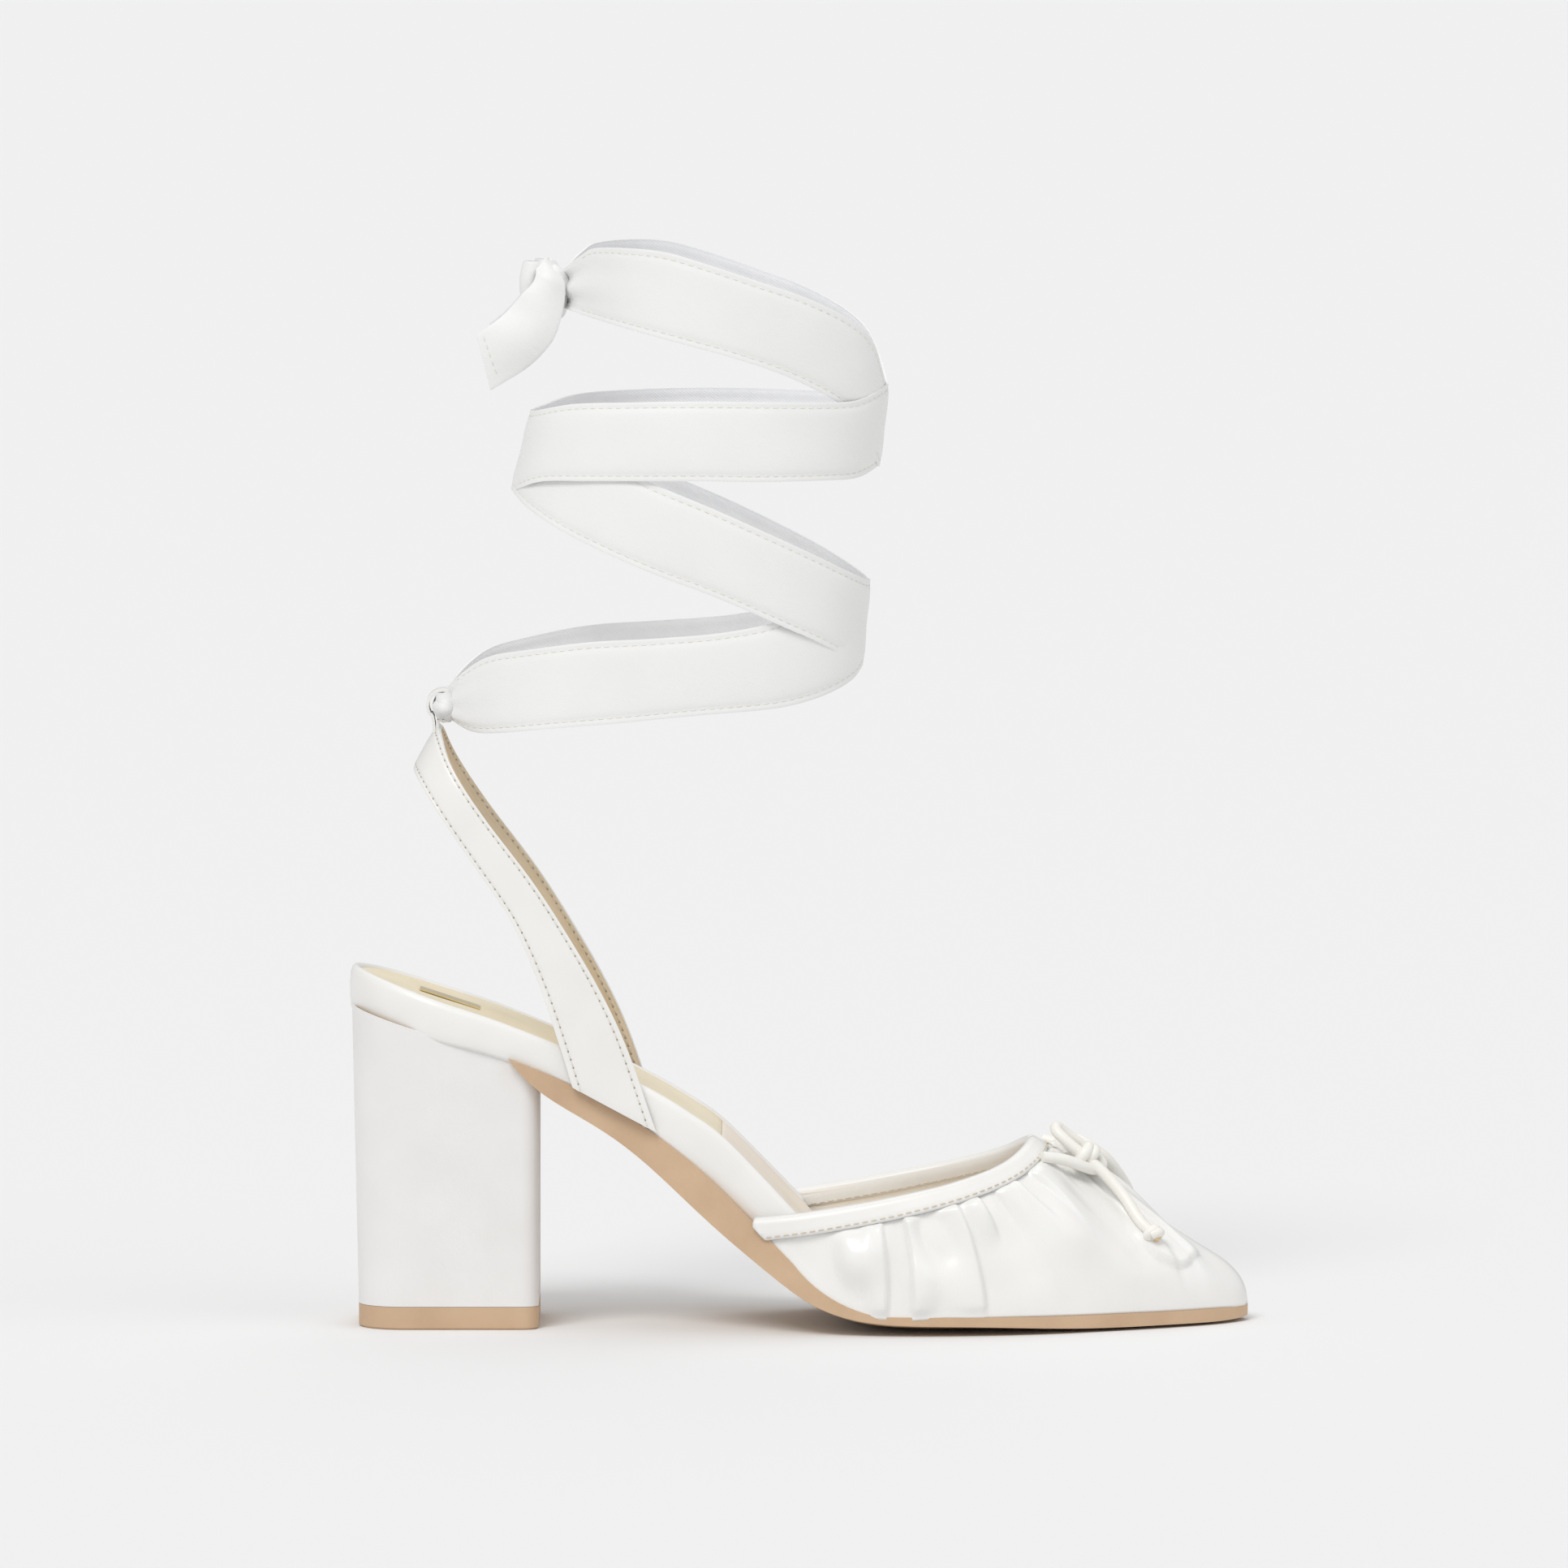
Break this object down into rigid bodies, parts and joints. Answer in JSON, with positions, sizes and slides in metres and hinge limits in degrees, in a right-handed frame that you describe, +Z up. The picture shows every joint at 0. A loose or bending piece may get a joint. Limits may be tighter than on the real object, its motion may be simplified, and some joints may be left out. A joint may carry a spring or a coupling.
{
  "type": "slingback pump",
  "caption": "Satin block-heel pump with a pointed toe, ruched vamp and cord bow, a slingback strap with a back loop, and an ankle-wrap ribbon tied in a knot.",
  "frame": {"origin": "middle of the heel's top piece on the ground", "axes": "+X from the heel towards the toe, +Y towards the inner (medial) side of the foot, +Z up"},
  "size_m": [0.2323, 0.0772, 0.2798],
  "materials": {
    "satin": "ivory satin",
    "sole_nude": "matt nude",
    "heel_plastic": "moulded",
    "steel": "plain",
    "board": "fibreboard",
    "cork": "cork composition",
    "foam": "latex foam",
    "sock": "cream lining",
    "lining": "beige lining",
    "puff": "stiffened cloth",
    "gold": "polished, blank"
  },
  "bodies": {
    "shoe": {"outsole": "sole_nude", "heel_block": "heel_plastic", "heel_cover": "satin", "top_piece": "sole_nude", "top_piece_pins": "steel", "heel_screw": "steel", "heel_nails": "steel", "insole_board": "board", "steel_shank": "steel", "shank_rivets": "steel", "bottom_filler": "cork", "footbed_foam": "foam", "footbed_rand": "satin", "heel_sock": "sock", "forepart_sock": "sock", "sock_plaque": "gold", "vamp_outer": "satin", "vamp_lining": "lining", "toe_puff": "puff", "topline_binding": "satin", "strap_anchors": "satin", "bow_cord_outer": "satin", "bow_cord_inner": "satin", "bow_end_knots": "satin"},
    "slingback": {"strap_outer": "satin", "strap_lining": "lining", "ribbon_loop": "satin"},
    "ankle_ribbon": {"ribbon_wrap_outer": "satin", "ribbon_wrap_inner": "satin", "ribbon_gather": "satin", "ribbon_knot": "satin", "ribbon_tails": "satin"}
  },
  "joints": [
    {"name": "slingback_swing", "type": "hinge", "parent": "shoe", "child": "slingback", "pos_m": [0.0376, 0, 0.0745], "axis": [0, 1, 0], "range_deg": [-30, 35]},
    {"name": "ribbon_swing", "type": "hinge", "parent": "slingback", "child": "ankle_ribbon", "pos_m": [-0.0014, 0, 0.1603], "axis": [0, 1, 0], "range_deg": [-30, 35]}
  ]
}
